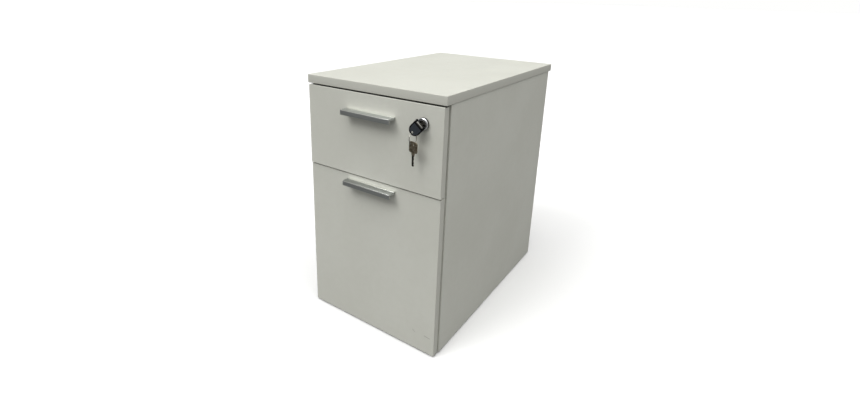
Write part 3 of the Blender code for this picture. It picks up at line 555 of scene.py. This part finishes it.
# ---------------------------------------------------------------- handles
def handle(name, node):
    """A drawn bar handle.

    Its outline runs from the front along a level ledge, over a fine groove, down a slight fall to
    the rounded lip, round the lip's foot and back through a fillet to the thick root.  It is
    carried along the handle's length, and both cut ends are eased.
    """
    low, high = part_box(node)
    back, top, reach = high.y, high.z, high.y - low.y
    drop = top - low.z
    wall, fall, ledge, root = 0.0028, 0.0018, 0.0070, 0.0075
    groove, nose, foot, fillet, eased = 0.0003, 0.0005, 0.0004, 0.0020, 0.0004
    slope = fall / (reach - ledge)
    inside = reach - wall
    outline = [(0.0, 0.0), (ledge - groove, 0.0), (ledge, -groove), (ledge + groove, 0.0)]
    outline = np.array([*outline,
                        *arc((reach - nose, -fall - nose + slope * nose), nose, 88, 0, 5),
                        *arc((reach - foot, foot - drop), foot, 0, -90, 4),
                        *arc((inside + foot, foot - drop), foot, -90, -180, 4),
                        *arc((inside - fillet, -fall - wall - fillet), fillet, 0, 80, 5),
                        (0.0, -root)])
    outline = np.stack([back - outline[:, 0], top + outline[:, 1]], 1)
    points, faces = carried(outline, "X", low.x, high.x, eased)
    corners = [np.mean(points[face], 0) for face in faces]
    # The level ledge and the top of the nose take the bright copy, a painted highlight; the lip and the faces low
    # down take the darker copy, painted shade; the rest the plain brushed finish.
    bright, dark = top - fall - nose, top - fall - wall
    marks = [2 if c[2] > top - groove or (back - c[1] > reach - nose and c[2] > bright)
             else int(back - c[1] > reach - nose or c[2] < dark) for c in corners]
    add_piece(name, [(points, faces, [BRUSHED_TOP, BRUSHED_PAINTED_SHADE, BRUSHED_PAINTED_HIGHLIGHT], marks)], node,
              [node], sharp=26.0)


handle("upper_bar_handle", "upper_handle")
handle("lower_bar_handle", "lower_handle")


def handle_screw(name, node):
    """A pan-head screw: the head's height falls by a quarter round, and sinks along a cross."""
    low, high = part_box(node)
    x, z = (low.x + high.x) / 2, (low.z + high.z) / 2
    head_radius = (high.x - low.x) / 2
    head, rim_share, flatter = 0.0022, 0.35, 0.96
    slot, slot_wall, slot_reach, slot_run, slot_depth = 0.00055, 0.00018, 0.0022, 0.0004, 0.0011
    shank_radius, tip_radius, tip = 0.00175, 0.0010, 0.0006
    seat, length = high.y - head, high.y - low.y - head
    radius = head_radius * np.array([0.02, 0.10, 0.16, 0.22, 0.30, 0.38, 0.46, 0.54, 0.62, 0.72,
                                     0.82, 0.90, 0.96, 1.0])[:, None]
    angle = np.linspace(0, 2 * math.pi, 48, endpoint=False)[None, :]
    px, pz = radius * np.cos(angle), radius * np.sin(angle)
    dome = head * (rim_share + (1 - rim_share)
                   * np.sqrt(1 - flatter * (radius / head_radius) ** 2)) + 0 * angle
    narrow, wide = np.minimum(abs(px), abs(pz)), np.maximum(abs(px), abs(pz))
    cross = (np.clip((slot - narrow) / slot_wall, 0, 1)
             * np.clip((slot_reach - wide) / slot_run, 0, 1))
    top = np.stack([x + px, seat + dome - slot_depth * cross, z + pz], -1)
    shank = [(head_radius, 0.0), (shank_radius, -0.0001), (shank_radius, tip - length),
             (tip_radius, -length)]
    rows = [np.stack([x + r * np.cos(angle[0]), seat + h + 0 * angle[0],
                      z + r * np.sin(angle[0])], -1) for r, h in shank]
    add_piece(name, [(*skin([*top, *rows]), [ZINC], None)], node, [node])


for drawer in ("upper", "lower"):
    for side in ("left", "right"):
        handle_screw(f"{drawer}_{side}_handle_screw", f"{drawer}_handle_screw_{side}")


# ---------------------------------------------------------------- lock
PIVOT = {name: Vector(joint["pos_m"]) for name, joint in JOINTS.items() if "pos_m" in joint}
LOCK = PIVOT["lock_turn"]
FOLD = PIVOT["key_fold"]
FOLD_AXIS = JOINTS["key_fold"]["axis"]
KEY_TURN = math.atan2(-FOLD_AXIS[2], FOLD_AXIS[0])
KEY_FOLD = -math.radians(JOINTS["key_fold"]["range_deg"][0])
OUTWARD = Matrix.Translation(LOCK) @ Matrix.Rotation(math.radians(90), 4, "X")
BARREL, COLLAR, BORE = 0.0095, 0.0135, 0.0083      # radii
COLLAR_REACH = 0.0080
LOCK_SIDES = 72


def lock_barrel():
    """The collar with its stepped face, and the threaded barrel behind it.

    A profile of five stretches turned about the lock's axis: thread, side, rounded shoulder,
    hollow face and the bore's lip.  The thread's radius follows a triangle wave of the height
    less a share of the turn, so that it climbs one pitch each turn.
    """
    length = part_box("lock_barrel")[1].y - LOCK.y
    pitch, depth, flat, seat = 0.0010, 0.00035, 0.0045, 0.0003
    round_off, sunk = 0.0030, 0.0008
    levels = np.arange(-length + 0.0006, -flat, pitch / 6)
    thread = [(BORE, -length), (BARREL - depth - 0.0003, -length),
              (BARREL - depth, -length + 0.0004), *[(BARREL, level) for level in levels],
              (BARREL, -flat), (BARREL, seat)]
    side = [(COLLAR - 0.0004, seat), (COLLAR, 0.0007), (COLLAR, 0.0022),
            (COLLAR - 0.0003, 0.0025), (COLLAR - 0.0003, 0.0029), (COLLAR - 0.0001, 0.0032),
            (COLLAR - 0.0001, COLLAR_REACH - 0.0034)]
    shoulder = arc((COLLAR - 0.0031, COLLAR_REACH - 0.0031), round_off, 4, 84, 9).tolist()
    rim = BORE + 0.0007
    hollow = [(COLLAR - 0.0034, COLLAR_REACH - 0.0002), (COLLAR - 0.0036, COLLAR_REACH - sunk),
              (rim + 0.0003, COLLAR_REACH - sunk)]
    lip = [(rim + 0.0001, COLLAR_REACH - 0.0001), (rim - 0.0002, COLLAR_REACH),
           (BORE, COLLAR_REACH - 0.0003)]
    profile = thread + side + shoulder + hollow + lip
    # The side and the hollow face take the dark copy of the chrome as painted shade and reflection; the thread,
    # shoulder and lip keep the bright chrome.
    marks = [0] * len(thread) + [1] * len(side) + [0] * len(shoulder) + [1] * len(hollow)
    marks = np.repeat(marks + [0] * len(lip), LOCK_SIDES).tolist()

    def threaded(angle, radius, height):
        wave = abs((height / pitch - angle / (2 * math.pi)) % 1.0 - 0.5) * 2
        cut = (height < -flat) & (height > -length + 0.0005)
        return np.where(cut, radius - depth * wave, radius)

    points, faces = turned(profile, LOCK_SIDES, threaded, closed=True)
    add_piece("lock_collar", [(placed(points, OUTWARD), faces, [CHROME, CHROME_PAINTED_SHADE], marks)],
              "lock_barrel", ["lock_barrel"], sharp=30.0)


def lock_nut():
    """The radius is the hexagon's, cut down at both ends by a cone, round a threaded bore."""
    low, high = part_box("lock_nut")
    flats, thick, edge, play = 0.013, high.y - low.y, 0.0006, 0.0004
    cone, cone_rise = 0.0003, 1.7
    heights = [0.0, edge, 2 * edge, thick - 2 * edge, thick - edge, thick]
    front = low.y - LOCK.y
    profile = [(BARREL + play, 0.0), *[(flats, h) for h in heights], (BARREL + play, thick)]

    def hexagonal(angle, radius, height):
        flat = flats / np.cos((angle + math.pi / 6) % (math.pi / 3) - math.pi / 6)
        inwards = np.minimum(height, thick - height)
        cut = np.minimum(flat, flats + cone + inwards * cone_rise)
        return np.where(radius > BARREL + 0.0005, cut, radius)

    points, faces = turned(profile, LOCK_SIDES, hexagonal, closed=True)
    points[:, 2] = -front - points[:, 2]
    add_piece("lock_hex_nut", [(placed(points, OUTWARD), faces, [ZINC], None)], "lock_nut",
              ["lock_nut"], sharp=30.0)


lock_barrel()
lock_nut()


# ---------------------------------------------------------------- folding key
BLADE_RINGS = 120
KEY_AXES = Matrix.Translation(FOLD) @ Matrix.Rotation(KEY_TURN, 4, "Y")
HEAD_AXES = KEY_AXES @ Matrix.Rotation(KEY_FOLD, 4, "X")


def key_blade():
    """The flat key: a knuckle and bow carried along X, and a blade with its cuts.

    The blade is a cross-section carried along Y whose one edge moves in by a row of cosine
    shaped cuts; its faces sink along two milled grooves.
    """
    knuckle, flat, root, half_bow, eased = 0.0023, 0.0010, 0.0045, 0.0085, 0.0005
    tip_at, cut_depth, cut_rate, edge = 0.0266, 0.0013, 31.0, 0.0031
    lean = math.degrees(math.asin(flat / knuckle))
    outline = np.array([(root, -flat), (root, flat), *arc((0, 0), knuckle, lean, 360 - lean, 24)])
    bow = carried(outline, "X", -half_bow, half_bow, eased)
    y = np.linspace(root - 0.0008, tip_at, BLADE_RINGS)[:, None]
    share = (y - y.min()) / (y.max() - y.min())
    cuts = np.clip(np.cos(share * cut_rate) * 1.3, 0, 1) * (share > 0.25) * (share < 0.93)
    tip = np.clip((share - 0.94) / 0.06, 0, 1) ** 2
    section = np.array([(-3.1, -0.9), (-3.1, 0.9), (-1.6, 1.0), (-1.2, 0.45), (-0.4, 0.45),
                        (0.0, 1.0), (2.0, 1.0), (3.1, 0.7), (3.1, -0.7), (2.0, -1.0), (1.4, -0.5),
                        (0.6, -0.5), (0.2, -1.0), (-1.6, -1.0)]) / 1000
    x = section[None, :, 0] * (1 - 0.55 * tip)
    x = np.minimum(x, edge - cut_depth * cuts - 0.0017 * tip)
    z = section[None, :, 1] * (1 - 0.4 * tip) + 0 * y
    blade = skin(np.stack([x, y + 0 * x, z], -1))
    shells = [(placed(points, KEY_AXES), faces, [KEY_NICKEL], None)
              for points, faces in (bow, blade)]
    add_piece("folding_key_blade", shells, "key_blade", ["key_blade"], sharp=28.0)


def key_head():
    """The moulded head.

    Rings of the same count run from its rounded outline, over the rim, down into the inlaid
    hollow, through the ring's hole and back on the other side.
    """
    side, length, half, fork, fork_half, clear = 0.0137, 0.0285, 0.0016, 0.0050, 0.0091, 0.0029
    rim, hole_radius, hole_at, floor, edge = 0.0025, 0.0023, -0.0235, 0.0011, 0.0005
    bevel, corner, corner_mid = 0.0006, 0.0010, 0.0003
    turn_at = side - length
    down = np.linspace(fork, turn_at, 14)[1:-1]
    round_end = arc((0, turn_at), side, 0, -180, 49)
    outline = np.array([(fork_half, -clear), (fork_half, fork - bevel), (fork_half + bevel, fork),
                        (side - corner, fork), (side - corner_mid, fork - corner_mid),
                        (side, fork - corner), *[(side, y) for y in down[1:]], *round_end,
                        *[(-side, y) for y in down[:0:-1]], (-side, fork - corner),
                        (corner_mid - side, fork - corner_mid), (corner - side, fork),
                        (-fork_half - bevel, fork), (-fork_half, fork - bevel),
                        (-fork_half, -clear), (-fork_half * 0.6, -clear), (0, -clear),
                        (fork_half * 0.6, -clear)])

    def hollow(amount):
        """The outline's points brought inside the rim, straight above and scaled round the end."""
        reach = side - amount
        flat = np.stack([np.clip(outline[:, 0], -reach, reach),
                         np.minimum(outline[:, 1], -clear - amount)], 1)
        around = np.array([0, turn_at]) + (outline - [0, turn_at]) * (reach / side)
        return np.where(outline[:, 1:] > turn_at, flat, around)

    def hole(radius):
        """The same points brought straight towards the hole's centre, onto its circle."""
        inner = hollow(rim)
        angle = np.arctan2(inner[:, 1] - hole_at, inner[:, 0])
        return np.stack([radius * np.cos(angle), hole_at + radius * np.sin(angle)], 1)

    soft = 0.0001
    upper = [(drawn_in(outline, edge * (1 - math.cos(a))), half - edge * (1 - math.sin(a)))
             for a in np.radians([0, 22.5, 45, 67.5, 90])]
    upper += [(hollow(rim - 3 * soft), half), (hollow(rim - soft), half - soft),
              (hollow(rim), floor + soft), (hollow(rim + soft), floor),
              (hole(hole_radius + soft), floor), (hole(hole_radius), floor - soft)]
    inlaid = [0] * 7 + [1, 1, 0]
    rows = upper + [(ring, -level) for ring, level in upper[::-1]]
    rings = [np.column_stack([ring, np.full(len(ring), level)]) for ring, level in rows]
    marks = np.repeat(inlaid + [0] + inlaid[::-1] + [0], len(outline)).tolist()
    points, faces = skin(rings, closed=True)
    add_piece("folding_key_head", [(placed(points, HEAD_AXES), faces, [BLACK, RECESS], marks)],
              "key_head", ["key_head"], sharp=40.0)


def fold_pin():
    """The pin that the head folds on, with a domed end in each side of the fork."""
    reach, radius = 0.0134, 0.0010
    half = [(radius, reach - 0.0006), (0.0008, reach - 0.0002), (0.0003, reach)]
    profile = [(r, -level) for r, level in half[::-1]] + half
    points, faces = turned(profile, 24)
    matrix = HEAD_AXES @ Matrix.Rotation(math.radians(90), 4, "Y")
    add_piece("key_hinge_pin", [(placed(points, matrix), faces, [NICKEL], None)], "key_fold_pin",
              ["key_fold_pin"])


def wire(path, radius, sides):
    """A round wire along a path: circles in the plane of its side direction and X."""
    path = np.asarray(path, float)
    along = np.gradient(path, axis=0)
    along /= np.linalg.norm(along, axis=1)[:, None]
    first = np.cross(along, (1.0, 0.0, 0.0))
    first /= np.linalg.norm(first, axis=1)[:, None]
    second = np.cross(along, first)
    angle = np.linspace(0, 2 * math.pi, sides, endpoint=False)
    rings = (path[:, None] + radius * (np.cos(angle)[None, :, None] * first[:, None]
                                       + np.sin(angle)[None, :, None] * second[:, None]))
    return skin(rings)


def key_ring():
    """A split ring: a circle run round almost twice while it shifts sideways by one wire."""
    low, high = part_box("key_ring")
    centre = (np.array(low) + np.array(high)) / 2
    up = np.array((PIVOT["key_ring_swing"] - PIVOT["spare_key_swing"]).normalized())
    out, across = np.array([0.0, 1.0, 0.0]), np.cross((0.0, 1.0, 0.0), up)
    thick, starts, sweeps = 0.0005, math.radians(20), math.radians(715)
    crosses, crossing = math.radians(234), math.radians(112.5)
    reach = (high.y - low.y) / 2 - thick
    turn = np.linspace(starts, starts + sweeps, 150)
    shift = thick * 2.05 * (np.clip((turn - starts - crosses) / crossing, 0, 1) - 0.5)
    path = (centre + shift[:, None] * across + reach * np.sin(turn)[:, None] * out
            + reach * np.cos(turn)[:, None] * up)
    add_piece("split_key_ring", [(*wire(path, thick, 10), [RING_STEEL], None)], "key_ring",
              ["key_ring"], sharp=40.0)


SPARE_TWIST = math.radians(-12)


def spare_key():
    """The spare key: a flat head with a raised rim round its hole, and a grooved blade.

    Head: rings from the outline over the rim to the sunk face and through the hole.  Blade: a
    cross-section carried down it, one edge moved in by its cuts.
    """
    low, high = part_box("spare_key")
    top, hole_radius = 0.0075, 0.0020
    hang = hole_radius - 0.0006 - 0.0003           # less the wire's radius and its play
    matrix = Matrix.Translation(PIVOT["spare_key_swing"] - Vector((0, 0, hang)))
    matrix = matrix @ Matrix.Rotation(SPARE_TWIST, 4, "Z")
    half, height, corner, neck, waist = 0.0125, 0.0250, 0.0055, 0.00475, 0.0030
    rim, soft = 0.0016, 0.0003
    foot, tip = top - height, low.z - PIVOT["spare_key_swing"].z + hang
    outline = np.array([*arc((half - corner, top - corner), corner, 0, 90, 9),
                        *arc((corner - half, top - corner), corner, 90, 180, 9),
                        *arc((corner - half, foot + corner), corner, 180, 250, 8),
                        (-neck, foot), (-neck, foot - 0.0035), (-waist, foot - 0.0060),
                        (waist, foot - 0.0060), (neck, foot - 0.0035), (neck, foot),
                        *arc((half - corner, foot + corner), corner, 290, 360, 8)])
    angle = np.arctan2(outline[:, 1], outline[:, 0])
    unit = np.stack([np.cos(angle), np.sin(angle)], 1)
    thick = 0.00105
    inner = drawn_in(outline, rim)
    inner[:, 1] = np.maximum(inner[:, 1], foot + 0.0022)
    rows = [(drawn_in(outline, soft), -thick), (outline, -thick + soft),
            (outline, thick - soft), (drawn_in(outline, soft), thick),
            (drawn_in(outline, 0.0012), thick), (inner, thick - soft),
            (unit * (hole_radius + 0.0014), thick - soft), (unit * (hole_radius + 0.0010), thick),
            (unit * (hole_radius + 0.0002), thick), (unit * hole_radius, thick - 0.0002)]
    rows += [(ring, -level) for ring, level in rows[:3:-1]]
    rings = [np.column_stack([ring[:, 0], np.full(len(ring), -level), ring[:, 1]])
             for ring, level in rows]
    head = skin(rings, closed=True)
    z = np.linspace(foot - 0.0045, tip, BLADE_RINGS)[:, None]
    share = (z.max() - z) / (z.max() - z.min())
    bite = np.interp(share, [0, .12, .2, .26, .34, .42, .5, .56, .66, .72, .82, .9, 1],
                     [0, 0, 1.5, 1.5, .4, .4, 1.9, 1.9, .8, .8, 1.6, .3, 0]) / 1000
    end = np.clip((share - 0.93) / 0.07, 0, 1) ** 2
    section = np.array([(-2.9, -0.85), (-2.9, 0.85), (-1.5, 1.05), (-1.1, 0.5), (-0.3, 0.5),
                        (0.1, 1.05), (1.9, 1.05), (2.9, 0.6), (2.9, -0.6), (1.9, -1.05),
                        (1.3, -0.5), (0.5, -0.5), (0.1, -1.05), (-1.5, -1.05)]) / 1000
    x = np.minimum(section[None, :, 0] * (1 - 0.6 * end), 0.0029 - bite - 0.0016 * end)
    y = section[None, :, 1] * (1 - 0.4 * end) + 0 * z
    blade = skin(np.stack([x, y, z + 0 * x], -1))
    shells = [(placed(head[0], matrix), head[1], [TARNISHED], None),
              (placed(blade[0], matrix), blade[1], [KEY_STEEL], None)]
    add_piece("spare_flat_key", shells, "spare_key", ["spare_key"], sharp=28.0)


key_blade()
key_head()
fold_pin()
key_ring()
spare_key()


# ---------------------------------------------------------------- studio
FLOOR_SEEN = 0.92
FLOOR_BOUNCE = 0.16
SKY_LOW = 0.17
SKY_SEEN = 1.0
SKY_LOBES = (((-0.15, -0.45, 0.88), 1.5, 5.0),      # direction, strength, sharpness
             ((0.55, 0.05, 0.80), 1.3, 4.0),
             ((-0.05, -0.15, 1.0), 2.0, 16.0))
SUN_FROM = (-0.35, -0.75, 0.95)
SUN_SPREAD = 24.0
SUN_POWER = 0.8
FLOOR_HALF = 60.0
CAMERA_RIGHT = (0.82024286, 0.57148531, 0.02462095)
CAMERA_SIGHT = (-0.53908736, 0.78670211, -0.30080659)
CAMERA_PLACE = (0.66021, -0.80990, 0.84567)          # Y from the top's front edge
SENSOR, LENS, SHIFT = 36.0, 19.63, (0.0258, -0.0737)
NEAREST, FARTHEST = 0.02, 60.0


def studio():
    """A plain pale floor, a soft sky that is brightest overhead, and one soft sun.

    The floor shows pale to the camera and throws little light back up.
    """
    mesh = bpy.data.meshes.new("floor")
    mesh.from_pydata([(-FLOOR_HALF, -FLOOR_HALF, 0.0), (FLOOR_HALF, -FLOOR_HALF, 0.0),
                      (FLOOR_HALF, FLOOR_HALF, 0.0), (-FLOOR_HALF, FLOOR_HALF, 0.0)],
                     [], [[0, 1, 2, 3]])
    floor = bpy.data.objects.new("floor", mesh)
    bpy.context.scene.collection.objects.link(floor)
    pale = Finish("pale_floor", roughness=0.9, specular_ior_level=0.0)
    pale.set(base_color=(FLOOR_SEEN,) * 3)
    dim = pale.node("ShaderNodeBsdfDiffuse", {}, {"Color": (FLOOR_BOUNCE,) * 3})
    seen = pale.node("ShaderNodeLightPath", {}, {}, "Is Camera Ray")
    bright = Value(pale, pale.shader.outputs[0])
    both = pale.node("ShaderNodeMixShader", {}, {0: seen, 1: dim, 2: bright})
    pale.tree.links.new(both.socket, pale.tree.nodes["Material Output"].inputs["Surface"])
    mesh.materials.append(pale.material)

    world = bpy.data.worlds.new("soft_sky")
    bpy.context.scene.world = world
    world.use_nodes = True
    sky = Finish.__new__(Finish)
    sky.tree = world.node_tree
    sky.tree.nodes.clear()
    direction = sky.node("ShaderNodeTexCoord", {}, {}, "Generated")
    strength = SKY_LOW
    for aim, power, sharp in SKY_LOBES:
        towards = sky.node("ShaderNodeVectorMath", {"operation": "DOT_PRODUCT"},
                           {0: direction, 1: Vector(aim).normalized()}, "Value")
        strength = towards.most(0.0) ** sharp * power + strength
    seen = sky.node("ShaderNodeLightPath", {}, {}, "Is Camera Ray")
    strength = strength * (1.0 - seen) + seen * SKY_SEEN
    light = sky.node("ShaderNodeBackground", {}, {"Color": (1.0, 1.0, 0.99), "Strength": strength})
    output = sky.tree.nodes.new("ShaderNodeOutputWorld")
    sky.tree.links.new(light.socket, output.inputs["Surface"])

    lamp = bpy.data.lights.new("soft_sun", "SUN")
    lamp.angle = math.radians(SUN_SPREAD)
    lamp.energy = SUN_POWER
    sun = bpy.data.objects.new("soft_sun", lamp)
    bpy.context.scene.collection.objects.link(sun)
    sun.rotation_euler = (-Vector(SUN_FROM)).to_track_quat("-Z", "Y").to_euler()


def camera():
    """The camera, set by its own X axis and line of sight."""
    data = bpy.data.cameras.new("camera")
    view = bpy.data.objects.new("camera", data)
    bpy.context.scene.collection.objects.link(view)
    top_low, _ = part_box("top_panel")
    right = Vector(CAMERA_RIGHT).normalized()
    sight = Vector(CAMERA_SIGHT).normalized()
    turn = Matrix((right, right.cross(sight), -sight)).transposed()
    x, y, z = CAMERA_PLACE
    view.matrix_world = Matrix.Translation((x, top_low.y + y, z)) @ turn.to_4x4()
    data.sensor_width = SENSOR
    data.lens = LENS
    data.shift_x, data.shift_y = SHIFT
    data.clip_start, data.clip_end = NEAREST, FARTHEST
    bpy.context.scene.camera = view


studio()
camera()
bpy.context.scene.view_settings.view_transform = "Standard"
